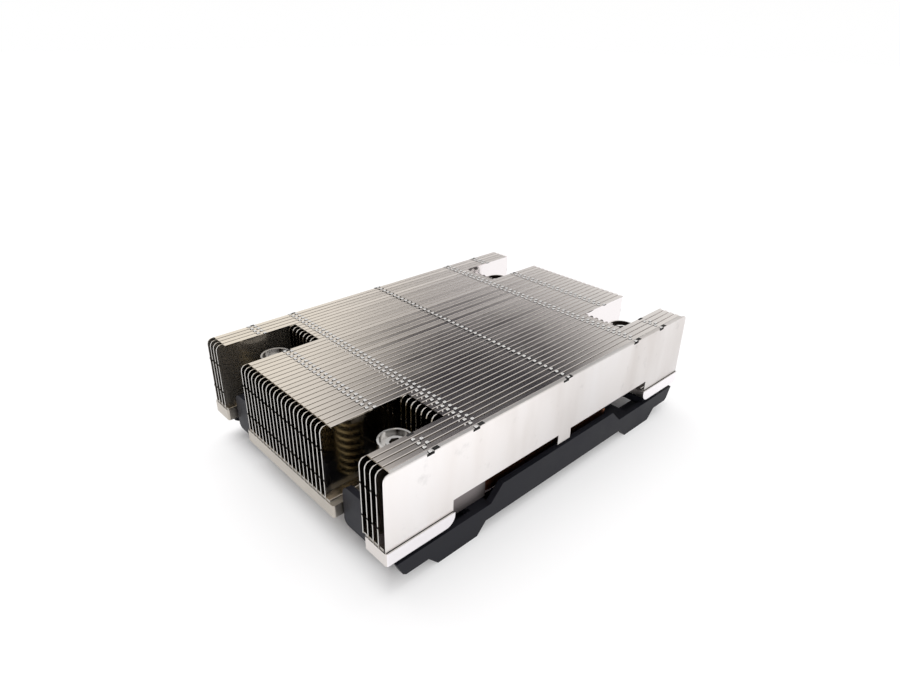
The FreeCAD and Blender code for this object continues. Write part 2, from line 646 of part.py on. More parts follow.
def spring_shape(radius, wire, low, high, turns, steps=8):
    """A coil of square wire: one ring of four corners per step, joined by flat triangles."""
    count = int(round(turns * steps))
    rings = []
    for n in range(count + 1):
        turn = 2 * math.pi * n / steps
        middle = low + wire / 2 + (high - low - wire) * n / count
        ring = []
        for out, up in ((-1, -1), (1, -1), (1, 1), (-1, 1)):
            r = radius + out * wire / 2
            ring.append(FreeCAD.Vector(r * math.cos(turn), r * math.sin(turn),
                                       middle + up * wire / 2))
        rings.append(ring)
    faces = []
    for a, b in zip(rings, rings[1:]):
        for k in range(4):
            m = (k + 1) % 4
            faces.append(Part.Face(Part.makePolygon([a[k], b[k], b[m], a[k]])))
            faces.append(Part.Face(Part.makePolygon([a[k], b[m], a[m], a[k]])))
    faces.append(Part.Face(Part.makePolygon(rings[0] + [rings[0][0]])))
    faces.append(Part.Face(Part.makePolygon(rings[-1] + [rings[-1][0]])))
    solid = Part.Solid(Part.Shell(faces))
    if solid.Volume < 0:
        solid.reverse()
    return solid


for end, y_sign in (("front", "-"), ("rear", "")):
    for side, x_sign in (("left", "-"), ("right", "")):
        name = end + "_" + side
        x = x_sign + NUT_X
        y = y_sign + NUT_Y
        nut = new_body("Nut_" + name, "captive_nut_" + name)
        turned = polygon(nut, "XZ_Plane", name + "_nut_profile", nut_profile)
        revolution = nut.newObject("PartDesign::Revolution", name + "_nut_turned")
        revolution.Profile = turned
        revolution.ReferenceAxis = (turned, ["V_Axis"])
        revolution.Angle = 360
        drive = polygon(nut, "XY_Plane", name + "_nut_drive", hexagon)
        drive.setExpression("AttachmentOffset.Base.z", S(BOSS_TOP))
        recess = nut.newObject("PartDesign::Pocket", name + "_nut_recess")
        recess.Profile = drive
        recess.setExpression("Length", S("%drive_depth"))
        nut.setExpression("Placement.Base.x", S(x))
        nut.setExpression("Placement.Base.y", S(y))
        keep(nut, "captive_nut_" + name)
        washer = rod(name + "_ring_blank", x, y, TRAY_LOW + " - %ring_thickness - %ring_gap",
                     "%ring_radius", "%ring_thickness", flats=CORNER_SIDES)
        eye = rod(name + "_ring_eye", x, y, TRAY_LOW + " - %ring_thickness - 2 * %ring_gap",
                  "%shank_radius + %ring_gap", "%ring_thickness + 2 * %ring_gap")
        keep(cut(name + "_ring", washer, eye), "retaining_ring_" + name)
        coil = doc.addObject("Part::Feature", "Spring_" + name)
        coil.Shape = spring_shape(number("%shank_radius + %spring_gap + %spring_wire / 2"),
                                  size("spring_wire"),
                                  number(TRAY_TOP + " + %spring_seat_gap"),
                                  number(CUP_LOW + " - %spring_seat_gap"),
                                  size("spring_turns"))
        coil.setExpression("Placement.Base.x", S(x))
        coil.setExpression("Placement.Base.y", S(y))
        keep(coil, "spring_" + name)

doc.recompute()

# Every object has to be up to date, and every piece a valid solid, before anything is written.
for item in doc.Objects:
    if "Invalid" in item.State or "Error" in item.State:
        raise RuntimeError("not built: " + item.Label)
os.makedirs("parts", exist_ok=True)
for item in NODES:
    shape = item.Shape
    if shape.isNull() or not shape.isValid() or not shape.Solids or shape.Volume <= 0:
        raise RuntimeError("not a valid solid: " + item.Label)
for item in NODES:
    item.Shape.exportStep("parts/%s.step" % item.Label)
print("%d pieces written" % len(NODES))
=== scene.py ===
# %% [markdown]
# Passive server heatsink, dressed for a studio picture.
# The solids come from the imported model: 44 folded fins, base, frame, pipes, nuts and springs.
# This script adds what sheet-metal work leaves on them, and the surfaces that the eye reads.
# Lengths are in metres. X runs across the fins, Y along them, and Z is up from the frame's feet.

# %% Load the frame
import math
import bpy
import numpy as np
from mathutils import Matrix, Vector


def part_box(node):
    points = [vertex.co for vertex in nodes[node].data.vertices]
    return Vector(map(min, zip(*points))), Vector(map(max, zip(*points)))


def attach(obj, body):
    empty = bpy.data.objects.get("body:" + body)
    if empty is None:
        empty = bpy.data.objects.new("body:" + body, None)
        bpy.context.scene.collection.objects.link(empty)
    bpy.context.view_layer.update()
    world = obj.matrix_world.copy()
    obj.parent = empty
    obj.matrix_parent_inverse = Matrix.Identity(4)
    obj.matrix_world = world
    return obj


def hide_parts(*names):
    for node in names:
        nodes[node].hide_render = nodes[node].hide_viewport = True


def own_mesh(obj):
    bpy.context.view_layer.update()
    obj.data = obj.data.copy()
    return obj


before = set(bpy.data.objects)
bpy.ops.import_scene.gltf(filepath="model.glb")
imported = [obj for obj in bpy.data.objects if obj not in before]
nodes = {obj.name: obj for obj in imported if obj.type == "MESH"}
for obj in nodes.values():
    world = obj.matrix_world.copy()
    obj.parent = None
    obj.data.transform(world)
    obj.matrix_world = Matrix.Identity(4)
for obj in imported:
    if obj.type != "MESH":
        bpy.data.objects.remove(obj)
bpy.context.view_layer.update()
print("CAD nodes:", len(nodes))

# %% [markdown]
# The driving sizes are read from the solids themselves, so that every added piece stays seated
# when the solids change. A millimetre is the natural unit of this part.

# %% Sizes read from the solids
MM = 0.001
CORNERS = ("front_left", "front_right", "rear_left", "rear_right")
FIN_NODES = sorted(name for name in nodes if name.startswith("fin_"))

first_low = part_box("fin_left_wing_1")[0]
second_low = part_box("fin_left_wing_2")[0]
side_low, side_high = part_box("outer_side_plate")
base_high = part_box("base_plate")[1]
PITCH = second_low.x - first_low.x
ROW_START = first_low.x
SHEET = 0.3 * MM
FIN_TOP = side_high.z
BASE_TOP = base_high.z
FIN_FRONT = side_low.y
FIN_REAR = side_high.y
BLOCK_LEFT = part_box("fin_centre_01")[0].x
NOTCH_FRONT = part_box("fin_left_notch_1")[0].y
NOTCH_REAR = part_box("fin_left_notch_1")[1].y
LEFT_WING_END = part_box("fin_left_wing_4")[1].x
RIGHT_WING_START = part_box("fin_right_wing_1")[0].x
print("pitch mm:", round(PITCH / MM, 3), "top mm:", round(FIN_TOP / MM, 2))

# %% [markdown]
# The strips are numbered from the left, from 0. The side plate is the last one.

# %% Numbers of the strips
LAST_STRIP = len(FIN_NODES)
NOTCH_STRIPS = np.r_[4:11, 32:39]
WING_AND_BLOCK_STRIPS = np.r_[0:4, 11:32, 40:44]
print("strips:", LAST_STRIP + 1)

# %% [markdown]
# The camera stands in front of the right corner, a hand's width above the fins. A wide lens so
# close gives the strong perspective of the picture. Its place and turn were solved from the
# object's straight edges. A camera looks along its own -Z, so the third column of its matrix
# points back from the object to the camera.

# %% Camera
CAMERA_PLACE = Vector((115.2 * MM, -111.7 * MM, 106.9 * MM))
CAMERA_AZIMUTH = math.radians(46.764)
CAMERA_ELEVATION = math.radians(26.454)
CAMERA_ROLL = math.radians(0.931)
FOCAL_PIXELS = 631.88
PICTURE_WIDTH = 900
SENSOR_MM = 36.0

back = Vector((
    math.sin(CAMERA_AZIMUTH) * math.cos(CAMERA_ELEVATION),
    -math.cos(CAMERA_AZIMUTH) * math.cos(CAMERA_ELEVATION),
    math.sin(CAMERA_ELEVATION),
))
level_right = (-back).cross(Vector((0, 0, 1))).normalized()
level_up = level_right.cross(-back)
right = level_right * math.cos(CAMERA_ROLL) + level_up * math.sin(CAMERA_ROLL)
up = level_up * math.cos(CAMERA_ROLL) - level_right * math.sin(CAMERA_ROLL)

camera_data = bpy.data.cameras.new("camera")
camera_data.sensor_fit = "HORIZONTAL"
camera_data.sensor_width = SENSOR_MM
camera_data.lens = FOCAL_PIXELS / PICTURE_WIDTH * SENSOR_MM
camera_data.clip_start = 1 * MM
camera = bpy.data.objects.new("camera", camera_data)
bpy.context.scene.collection.objects.link(camera)
turn = Matrix((right, up, back)).transposed().to_4x4()
camera.matrix_world = Matrix.Translation(CAMERA_PLACE) @ turn
bpy.context.scene.camera = camera
bpy.context.scene.view_settings.view_transform = "Standard"
print("lens mm:", round(camera_data.lens, 2))

# %% [markdown]
# A shader tree is easier to read when each node is one short call. The helpers below add a node,
# set its inputs by name, and join an input wherever the value is another node's output.

# %% Shader helpers
MIX_FACTOR, MIX_A, MIX_B = 0, 6, 7
MIX_RESULT = 2


def feed(tree, target, value):
    """Gives an input its value: a number, a colour or another node's output."""
    if isinstance(value, bpy.types.NodeSocket):
        tree.links.new(value, target)
    else:
        target.default_value = value


def put(tree, kind, values=None, **settings):
    """Adds a node. settings are its own options, values its inputs."""
    node = tree.nodes.new(kind)
    for key, value in settings.items():
        setattr(node, key, value)
    for key, value in (values or {}).items():
        feed(tree, node.inputs[key], value)
    return node


def maths(tree, operation, a, b=0.0):
    """One Math node and its result."""
    return put(tree, "ShaderNodeMath", {0: a, 1: b}, operation=operation).outputs[0]


def spread(tree, value, start, end, low=0.0, high=1.0, **settings):
    """One Map Range node. Its result runs from low to high as value runs from start to end."""
    ends = {"Value": value, "From Min": start, "From Max": end, "To Min": low, "To Max": high}
    return put(tree, "ShaderNodeMapRange", ends, **settings).outputs[0]


def blend_colour(tree, factor, a, b, mode="MIX"):
    """One Mix node for colours and its result."""
    values = {MIX_FACTOR: factor, MIX_A: a, MIX_B: b}
    node = put(tree, "ShaderNodeMix", values, data_type="RGBA", blend_type=mode)
    return node.outputs[MIX_RESULT]


def ramp(tree, value, stops):
    """A colour ramp through (place, colour) pairs, and its result."""
    node = put(tree, "ShaderNodeValToRGB", {"Fac": value})
    points = node.color_ramp.elements
    while len(points) < len(stops):
        points.new(0.5)
    for point, (place, colour) in zip(points, stops):
        point.position = place
        point.color = colour
    return node.outputs["Color"]


def object_place(tree):
    """The shaded point's place on the object."""
    return put(tree, "ShaderNodeTexCoord").outputs["Object"]


def split(tree, vector):
    """The X, Y and Z of a vector."""
    return put(tree, "ShaderNodeSeparateXYZ", {0: vector}).outputs


def grey(level):
    """A grey as a colour."""
    return (level, level, level, 1)


def new_group(name, inputs, outputs):
    """An empty shader group with named sockets: (name, kind, default) and (name, kind)."""
    tree = bpy.data.node_groups.new(name, "ShaderNodeTree")
    for label, kind, default in inputs:
        socket = tree.interface.new_socket(name=label, in_out="INPUT", socket_type=kind)
        socket.default_value = default
    for label, kind in outputs:
        tree.interface.new_socket(name=label, in_out="OUTPUT", socket_type=kind)
    entry = tree.nodes.new("NodeGroupInput")
    leave = tree.nodes.new("NodeGroupOutput")
    return tree, entry, leave


NUMBER = "NodeSocketFloat"
VECTOR = "NodeSocketVector"
print("shader helpers ready")

# %% [markdown]
# Rolled sheet has a fine grain along the rolling direction. A noise that is stretched fifty
# times along one axis gives such streaks. The group puts out the streaks for bumps, and a slow
# cloudy value for stains and finger marks. All finishes share it.

# %% Shared effect: rolled grain and handling marks
grain_tree, grain_in, grain_out = new_group(
    "rolled_grain",
    [("Fineness", NUMBER, 2500.0), ("Stretch", NUMBER, 0.02), ("Cloud Size", NUMBER, 90.0)],
    [("Grain", NUMBER), ("Clouds", NUMBER)],
)
place = object_place(grain_tree)
parts = split(grain_tree, place)
along = maths(grain_tree, "MULTIPLY", parts["Y"], grain_in.outputs["Stretch"])
stretched = put(
    grain_tree, "ShaderNodeCombineXYZ", {"X": parts["X"], "Y": along, "Z": parts["Z"]}
)
streaks = put(
    grain_tree,
    "ShaderNodeTexNoise",
    {"Vector": stretched.outputs[0], "Scale": grain_in.outputs["Fineness"], "Detail": 3.0},
)
clouds = put(
    grain_tree,
    "ShaderNodeTexNoise",
    {"Vector": place, "Scale": grain_in.outputs["Cloud Size"], "Detail": 4.0, "Roughness": 0.6},
)
grain_tree.links.new(streaks.outputs["Fac"], grain_out.inputs["Grain"])
grain_tree.links.new(clouds.outputs["Fac"], grain_out.inputs["Clouds"])
print("group:", grain_tree.name)

# %% [markdown]
# The fins repeat, but no two strips are quite alike: each came off the press with its own tiny
# tilt and its own shade. The group counts strips from the left by dividing X by the pitch. It
# gives each strip a random value, and a mask for the open seam at its free right edge. Beside
# the seam the punch rolled the sheet down a little, so there the normal leans to the right and
# mirrors the room above as a thin bright line: normal + lean * (1, 0, 0), at unit length. The
# seam and the roll lie between two shares of the pitch.

# %% Shared effect: the rhythm of the fin row
SEAM_SHARES = (0.92, 0.94)
ROLL_SHARES = (0.80, 0.83)
ROLL_LEAN = 0.32
STRIP_TILT = 0.036
TOP_NORMAL = 0.9

row_tree, row_in, row_out = new_group(
    "fin_rhythm",
    [("Row Start", NUMBER, ROW_START), ("Pitch", NUMBER, PITCH)],
    [("Strip Random", NUMBER), ("Seam", NUMBER), ("Normal", VECTOR)],
)
parts = split(row_tree, object_place(row_tree))
shifted = maths(row_tree, "SUBTRACT", parts["X"], row_in.outputs["Row Start"])
steps = maths(row_tree, "DIVIDE", shifted, row_in.outputs["Pitch"])
index = maths(row_tree, "FLOOR", steps)
inside = maths(row_tree, "FRACT", steps)
white_noise = put(row_tree, "ShaderNodeTexWhiteNoise", {"W": index}, noise_dimensions="1D")
random = white_noise.outputs["Value"]
seam = spread(row_tree, inside, *SEAM_SHARES)
rolled = spread(row_tree, inside, *ROLL_SHARES)
tilt = maths(row_tree, "MULTIPLY", maths(row_tree, "SUBTRACT", random, 0.5), STRIP_TILT)
lean = maths(row_tree, "ADD", maths(row_tree, "MULTIPLY", rolled, ROLL_LEAN), tilt)
normal = put(row_tree, "ShaderNodeNewGeometry").outputs["Normal"]
on_top = maths(row_tree, "GREATER_THAN", split(row_tree, normal)["Z"], TOP_NORMAL)
push = put(row_tree, "ShaderNodeCombineXYZ", {"X": maths(row_tree, "MULTIPLY", lean, on_top)})
leaning = put(row_tree, "ShaderNodeVectorMath", {0: normal, 1: push.outputs[0]}, operation="ADD")
unit = put(row_tree, "ShaderNodeVectorMath", {0: leaning.outputs[0]}, operation="NORMALIZE")
row_tree.links.new(random, row_out.inputs["Strip Random"])
row_tree.links.new(seam, row_out.inputs["Seam"])
row_tree.links.new(unit.outputs[0], row_out.inputs["Normal"])
print("group:", row_tree.name)

# %% [markdown]
# A punched sheet shows three kinds of surface: its folded top, its broad sides, and the cut
# edges at front and rear. The group tells them apart by the direction that a face looks in.

# %% Shared effect: which way a face looks
TURN_START = 0.7

turn_tree, turn_in, turn_out = new_group(
    "face_turn", [("Sharpness", NUMBER, 0.1)], [("Up", NUMBER), ("Side", NUMBER), ("Right", NUMBER)]
)
parts = split(turn_tree, put(turn_tree, "ShaderNodeTexCoord").outputs["Normal"])
upper = maths(turn_tree, "ADD", turn_in.outputs["Sharpness"], TURN_START)
for label, value in (
    ("Up", parts["Z"]),
    ("Side", maths(turn_tree, "ABSOLUTE", parts["X"])),
    ("Right", parts["X"]),
):
    turn_tree.links.new(spread(turn_tree, value, TURN_START, upper), turn_out.inputs[label])
print("group:", turn_tree.name)

# %% [markdown]
# Every finish is one material with one Principled shader. Its colours, roughness and bump come
# from the groups above, each with its own strength.

# %% Material helpers
CLOUD_ENDS = (0.3, 0.7)
BUMP_DEPTH = 0.03 * MM


def finish(name, metallic=1.0):
    """A material with its Principled shader, and a rolled-grain group already in it."""
    material = bpy.data.materials.new(name)
    material.use_nodes = True
    tree = material.node_tree
    shader = tree.nodes["Principled BSDF"]
    shader.inputs["Metallic"].default_value = metallic
    grain = add_group(tree, grain_tree)
    return material, tree, shader, grain


def add_group(tree, group, **values):
    """A group node with its inputs set."""
    node = put(tree, "ShaderNodeGroup", node_tree=group)
    for key, value in values.items():
        node.inputs[key.replace("_", " ")].default_value = value
    return node


def roughen(tree, shader, value, low, high):
    """Roughness runs from low to high as value runs between the usual ends of the clouds."""
    tree.links.new(spread(tree, value, *CLOUD_ENDS, low, high), shader.inputs["Roughness"])


def emboss(tree, shader, height, strength, distance):
    """Bump from a height value."""
    values = {"Height": height, "Strength": strength, "Distance": distance}
    tree.links.new(put(tree, "ShaderNodeBump", values).outputs[0], shader.inputs["Normal"])


def cloudy_tone(tree, grain, dark, light):
    """A colour that drifts between two tones with the clouds."""
    return ramp(tree, grain.outputs["Clouds"], list(zip(CLOUD_ENDS, (dark, light))))


print("material helpers ready")

# %% [markdown]
# The fins' tops carry a painted reflection that runs from champagne at the front left to silver at
# the rear right, and painted shade in the open seams. Their broad sides carry painted shade: darker
# in the front half than in the rear half, and dullest in the left wing, but its outer face is
# bright. The last fin on the right shows as a dark skirt through the side plate's cut-out; its dark
# tone is painted shade.

# %% Fin strips
# Painted reflection: the tops run from champagne at the front left to silver at the rear right.
TOP_REFLECTION_TONES = [
    (0.0, (0.97, 0.88, 0.75, 1)), (0.5, (0.88, 0.82, 0.79, 1)), (1.0, (0.86, 0.82, 0.79, 1))
]
TOP_REACH = 80 * MM
TOP_ROUGHNESS = (0.12, 0.20)
STRIP_SHADES = (0.90, 1.0)
SEAM_STRENGTH = 0.92
# Painted shade: the dark of the open seams between strips.
SEAM_SHADE_TONE = (0.05, 0.045, 0.04, 1)
EDGE_TONE = (0.70, 0.68, 0.65, 1)
# Painted shade and light: the sides are darker in the front half and in the left wing, and lighter
# in the rear half.
WALL_FRONT_SHADE = (0.52, 0.475, 0.41, 1)
WALL_LEFT_SHADE = (0.33, 0.30, 0.26, 1)
WALL_REAR_LIT = (0.88, 0.84, 0.84, 1)
OUTER_TONES = [(0.35, (0.72, 0.68, 0.65, 1)), (0.6, (0.86, 0.83, 0.81, 1))]
OUTER_X = ROW_START + 0.1 * MM
WALL_ROUGHNESS, DULL_ROUGHNESS, SKIRT_ROUGHNESS = 0.13, 0.24, 0.50
DULL_LOSS = 0.12
# Painted shade: the last fin on the right lies in the side plate's shadow.
SKIRT_SHADE_TONE = (0.30, 0.27, 0.27, 1)
SKIRT_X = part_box("fin_right_wing_4")[0].x - 0.1 * MM
SKIRT_Z = BASE_TOP + 3 * MM


def top_painted_tone(tree, parts, rhythm):
    """Colour of the tops: a painted reflection, a shade for each strip, and painted shade in the
    seams.
    """
    diagonal = maths(tree, "ADD", parts["X"], parts["Y"])
    tone = ramp(tree, spread(tree, diagonal, -TOP_REACH, TOP_REACH), TOP_REFLECTION_TONES)
    shade = spread(tree, rhythm.outputs["Strip Random"], 0.0, 1.0, *STRIP_SHADES)
    varied = blend_colour(tree, 1.0, tone, shade, "MULTIPLY")
    seam = maths(tree, "MULTIPLY", rhythm.outputs["Seam"], SEAM_STRENGTH)
    return blend_colour(tree, seam, varied, SEAM_SHADE_TONE)


def wall_painted_tone(tree, parts, grain, in_skirt):
    """Colour of the broad sides, in painted shade at the front and in the left wing and painted
    light at the rear, and a mask for the dull ones of the left wing's front.
    """
    backward = spread(tree, parts["Y"], FIN_FRONT / 2, FIN_REAR / 2)
    outermost = maths(tree, "LESS_THAN", parts["X"], OUTER_X)
    bright = maths(tree, "MAXIMUM", backward, outermost)
    leftward = maths(tree, "LESS_THAN", parts["X"], LEFT_WING_END)
    front_wall = blend_colour(tree, leftward, WALL_FRONT_SHADE, WALL_LEFT_SHADE)
    wall = blend_colour(tree, bright, front_wall, WALL_REAR_LIT)
    handled = ramp(tree, grain.outputs["Clouds"], OUTER_TONES)
    wall = blend_colour(tree, outermost, wall, handled)
    dull = maths(tree, "MULTIPLY", leftward, maths(tree, "SUBTRACT", 1.0, bright))
    return blend_colour(tree, in_skirt, wall, SKIRT_SHADE_TONE), dull


def fin_sheet():
    """Plated fin strips, with a painted reflection from champagne at the front left to silver at
    the rear right, and painted shade on the sides and in the seams.
    """
    material, tree, shader, grain = finish("fin_sheet")
    grain.inputs["Cloud Size"].default_value = 45.0
    rhythm = add_group(tree, row_tree, Row_Start=ROW_START, Pitch=PITCH)
    turned = add_group(tree, turn_tree)
    side = turned.outputs["Side"]
    parts = split(tree, object_place(tree))
    beyond = maths(tree, "GREATER_THAN", parts["X"], SKIRT_X)
    below = maths(tree, "LESS_THAN", parts["Z"], SKIRT_Z)
    in_skirt = maths(tree, "MULTIPLY", beyond, below)
    wall, dull = wall_painted_tone(tree, parts, grain, in_skirt)
    dull = maths(tree, "MULTIPLY", dull, side)
    sides = blend_colour(tree, side, EDGE_TONE, wall)
    coloured = blend_colour(tree, turned.outputs["Up"], sides, top_painted_tone(tree, parts, rhythm))
    tree.links.new(coloured, shader.inputs["Base Color"])
    loss = maths(tree, "MULTIPLY", dull, DULL_LOSS)
    tree.links.new(maths(tree, "SUBTRACT", 1.0, loss), shader.inputs["Metallic"])
    cloudy = spread(tree, grain.outputs["Clouds"], *CLOUD_ENDS, *TOP_ROUGHNESS)
    wall_rough = blend_colour(tree, dull, grey(WALL_ROUGHNESS), grey(DULL_ROUGHNESS))
    wall_rough = blend_colour(tree, in_skirt, wall_rough, grey(SKIRT_ROUGHNESS))
    tree.links.new(blend_colour(tree, side, cloudy, wall_rough), shader.inputs["Roughness"])
    tree.links.new(rhythm.outputs["Normal"], shader.inputs["Normal"])
    return material


FIN_SHEET = fin_sheet()
print("finish:", FIN_SHEET.name)

# %% [markdown]
# The side plate is the brightest face. It is a little darker at its lower edge and towards the
# rear, with faint upright smudges from a noise that is squeezed in height, and a few marks.

# %% Side plate
SMUDGE_TONES = [
    (0.35, (0.86, 0.81, 0.78, 1)), (0.52, (0.96, 0.92, 0.90, 1)), (0.7, (0.99, 0.96, 0.95, 1))
]
SMUDGE_SQUEEZE = 0.25
SMUDGE_SCALE = 70.0
LOW_SHADE = 0.90
REAR_SHADE = 0.80
REAR_SHADE_ENDS = (-30 * MM, 5 * MM)
MARK_ENDS = (0.60, 0.72)
MARK_SHADE = 0.86


def side_sheet():
    """Pale sheet metal with smudges and marks."""
    material, tree, shader, grain = finish("side_sheet")
    grain.inputs["Cloud Size"].default_value = 160.0
    parts = split(tree, object_place(tree))
    low = maths(tree, "MULTIPLY", parts["Z"], SMUDGE_SQUEEZE)
    squeezed = put(tree, "ShaderNodeCombineXYZ", {"Y": parts["Y"], "Z": low})
    values = {"Vector": squeezed.outputs[0], "Scale": SMUDGE_SCALE, "Detail": 3.0}
    smudge = put(tree, "ShaderNodeTexNoise", values).outputs["Fac"]
    rise = spread(tree, parts["Z"], BASE_TOP, FIN_TOP, LOW_SHADE)
    length = spread(tree, parts["Y"], *REAR_SHADE_ENDS, 1.0, REAR_SHADE)
    marks = spread(tree, grain.outputs["Clouds"], *MARK_ENDS, 1.0, MARK_SHADE)
    fading = maths(tree, "MULTIPLY", maths(tree, "MULTIPLY", rise, length), marks)
    shaded = blend_colour(tree, 1.0, ramp(tree, smudge, SMUDGE_TONES), fading, "MULTIPLY")
    tree.links.new(shaded, shader.inputs["Base Color"])
    roughen(tree, shader, smudge, 0.34, 0.28)
    return material


SIDE_SHEET = side_sheet()
print("finish:", SIDE_SHEET.name)

# %% [markdown]
# The base has satin plating with a fine grain. Painted light makes it brighter under the right
# wing, on the outer face there and on its tops.

# %% Base plate
UNDER_WING_X = RIGHT_WING_START - 1 * MM
# Painted light: brighter tones under the right wing, on the tops and on the outer face there.
UNDER_WING_LIT_TONE = (0.74, 0.70, 0.67, 1)
BASE_TOP_LIT_TONE = (0.84, 0.82, 0.80, 1)
BASE_OUTER_LIT_TONE = (0.95, 0.92, 0.94, 1)


def base_metal():
    """Satin plating with its own cloudy tone, and three brighter tones of painted light for its
    faces.
    """
    material, tree, shader, grain = finish("base_metal")
    turned = add_group(tree, turn_tree)
    parts = split(tree, object_place(tree))
    under_wing = maths(tree, "GREATER_THAN", parts["X"], UNDER_WING_X)
    outer = maths(tree, "MULTIPLY", turned.outputs["Right"], under_wing)
    tone = cloudy_tone(tree, grain, (0.44, 0.405, 0.355, 1), (0.57, 0.53, 0.475, 1))
    tone = blend_colour(tree, under_wing, tone, UNDER_WING_LIT_TONE)
    tone = blend_colour(tree, turned.outputs["Up"], tone, BASE_TOP_LIT_TONE)
    tone = blend_colour(tree, outer, tone, BASE_OUTER_LIT_TONE)
    tree.links.new(tone, shader.inputs["Base Color"])
    roughen(tree, shader, grain.outputs["Clouds"], 0.28, 0.40)
    emboss(tree, shader, grain.outputs["Grain"], 0.08, BUMP_DEPTH)
    return material


BASE_METAL = base_metal()
print("finish:", BASE_METAL.name)

# %% [markdown]
# Handled copper has its aged colour where it is dull, and the fresh one where it still shines.
# On the pipes the aged colour is so dark that it is mostly painted shade: they lie in shadow under
# the fins.

# %% Copper
COPPER_PLACES = (0.35, 0.68)
AGED_EXTRA = 0.15


def copper(name, aged_and_shaded, fresh, smoothest):
    """Copper with its two colours and the roughness of its smoothest places."""
    material, tree, shader, grain = finish(name)
    tone = ramp(tree, grain.outputs["Clouds"], list(zip(COPPER_PLACES, (aged_and_shaded, fresh))))
    tree.links.new(tone, shader.inputs["Base Color"])
    roughen(tree, shader, grain.outputs["Clouds"], smoothest + AGED_EXTRA, smoothest)
    emboss(tree, shader, grain.outputs["Grain"], 0.3, BUMP_DEPTH)
    return material


# Painted shade: the pipes' aged tone is very dark because they lie in shadow under the fins.
PIPE_COPPER = copper("pipe_copper", (0.16, 0.06, 0.04, 1), (0.66, 0.28, 0.14, 1), 0.25)
PLATE_COPPER = copper("plate_copper", (0.56, 0.26, 0.15, 1), (0.66, 0.33, 0.20, 1), 0.20)
print("finishes:", PIPE_COPPER.name, PLATE_COPPER.name)

# %% [markdown]
# The frame is charcoal and satin, with a fine moulded grain. The shadowed inside of a slot is
# near black, with a trace of variation.

# %% Dark finishes


def frame_black():
    """Moulded charcoal plastic."""
    material, tree, shader, grain = finish("frame_black", 0.0)
    grain.inputs["Fineness"].default_value = 4000.0
    grain.inputs["Stretch"].default_value = 1.0
    tone = cloudy_tone(tree, grain, (0.011, 0.0115, 0.016, 1), (0.017, 0.0175, 0.0235, 1))
    tree.links.new(tone, shader.inputs["Base Color"])
    roughen(tree, shader, grain.outputs["Clouds"], 0.34, 0.50)
    shader.inputs["Specular IOR Level"].default_value = 0.12
    emboss(tree, shader, grain.outputs["Grain"], 0.1, BUMP_DEPTH)
    return material


def slot_painted_shade():
    """Painted shade: the near black of a shadowed slot."""
    material, tree, shader, grain = finish("slot_painted_shade", 0.0)
    tone = cloudy_tone(tree, grain, grey(0.010), grey(0.024))
    tree.links.new(tone, shader.inputs["Base Color"])
    shader.inputs["Roughness"].default_value = 0.6
    shader.inputs["Specular IOR Level"].default_value = 0.1
    return material


FRAME_BLACK = frame_black()
SLOT_PAINTED_SHADE = slot_painted_shade()
print("finishes:", FRAME_BLACK.name, SLOT_PAINTED_SHADE.name)

# %% [markdown]
# Nuts, springs, rings and tabs are turned or bent and then plated. A polished cup between fins
# mirrors them as upright bands, which are painted reflections: a noise that hardly changes with
# height. It also darkens towards its floor, in painted shade, and its rim stays bright. The left
# nuts have the painted bands of the right ones, which are one nut spacing further along X.

# %% Plated steel
PLATING_SHADE = 0.88
# Painted reflection: the dark of the bands that the nut cups mirror.
BAND_REFLECTION_DARK = (0.05, 0.04, 0.03, 1)
BAND_PLACES = (0.52, 0.60)
BAND_SCALE = 210.0
BAND_STRETCH = 0.2
CUP_METALLIC = 0.72
CUP_FLOOR_SHADE = 0.3
NUT_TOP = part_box("captive_nut_front_right")[1].z
NUT_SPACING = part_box("captive_nut_front_right")[1].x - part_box("captive_nut_front_left")[1].x
CUP_ENDS = (NUT_TOP - 4 * MM, NUT_TOP - 1 * MM)


def cup_reflection_tone(tree, tone, colour):
    """The tone of a polished cup: painted reflections as bands on its walls, painted shade towards
    its floor, and the plain tone on its rim.
    """
    parts = split(tree, object_place(tree))
    left_side = maths(tree, "LESS_THAN", parts["X"], 0.0)
    band_x = maths(tree, "ADD", parts["X"], maths(tree, "MULTIPLY", left_side, NUT_SPACING))
    band_z = maths(tree, "MULTIPLY", parts["Z"], BAND_STRETCH)
    upright = put(tree, "ShaderNodeCombineXYZ", {"X": band_x, "Y": parts["Y"], "Z": band_z})
    values = {"Vector": upright.outputs[0], "Scale": BAND_SCALE}
    bands = put(tree, "ShaderNodeTexNoise", values).outputs["Fac"]
    reflected_bands = ramp(tree, bands, list(zip(BAND_PLACES, (BAND_REFLECTION_DARK, colour))))
    tone = blend_colour(tree, add_group(tree, turn_tree).outputs["Up"], reflected_bands, tone)
    # Painted shade: darker towards the cup's floor.
    floor_shading = spread(tree, parts["Z"], *CUP_ENDS, CUP_FLOOR_SHADE)
    return blend_colour(tree, 1.0, tone, floor_shading, "MULTIPLY")


def nickel(name, colour, low, high, polished_cup=False):
    """Plated steel with its colour and its roughness from low to high."""
    material, tree, shader, grain = finish(name)
    grain.inputs["Stretch"].default_value = 1.0
    shaded = tuple(PLATING_SHADE * c for c in colour[:3]) + (1,)
    tone = blend_colour(tree, grain.outputs["Clouds"], shaded, colour)
    if polished_cup:
        shader.inputs["Metallic"].default_value = CUP_METALLIC
        tone = cup_reflection_tone(tree, tone, colour)
    tree.links.new(tone, shader.inputs["Base Color"])
    roughen(tree, shader, grain.outputs["Clouds"], low, high)
    return material


